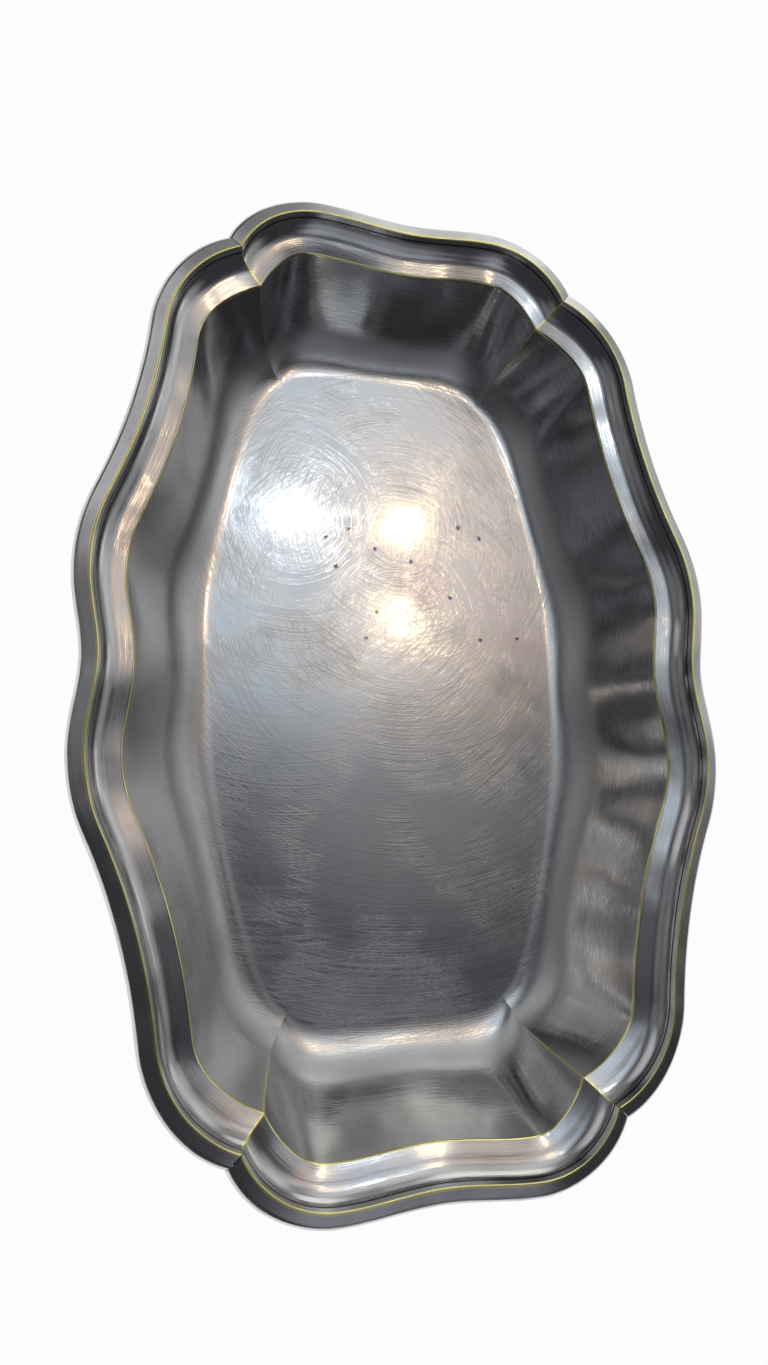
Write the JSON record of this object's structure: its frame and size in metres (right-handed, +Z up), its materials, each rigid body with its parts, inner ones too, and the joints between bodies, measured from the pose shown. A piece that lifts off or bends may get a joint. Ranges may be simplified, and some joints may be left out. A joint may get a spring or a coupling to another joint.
{
  "type": "deep serving platter",
  "caption": "Deep metal serving platter with a lobed outline, inward corner creases, a coved flange and a soldered border moulding; it holds and carries food.",
  "frame": {"origin": "on the table, under the middle of the floor", "axes": "+Z up, +Y along the length towards the far end, +X across to the right"},
  "size_m": [0.236, 0.3522, 0.0462],
  "materials": {
    "dish_plate": "worn silver-coloured plate on brass sheet, finely scratched floor, brushed walls",
    "border_plate": "worn silver-coloured plate on brass, ridge rubbed through to the brass"
  },
  "bodies": {
    "root": {"dish_body": "dish_plate", "border_far": "border_plate", "border_near": "border_plate", "border_left": "border_plate", "border_right": "border_plate"}
  },
  "joints": []
}
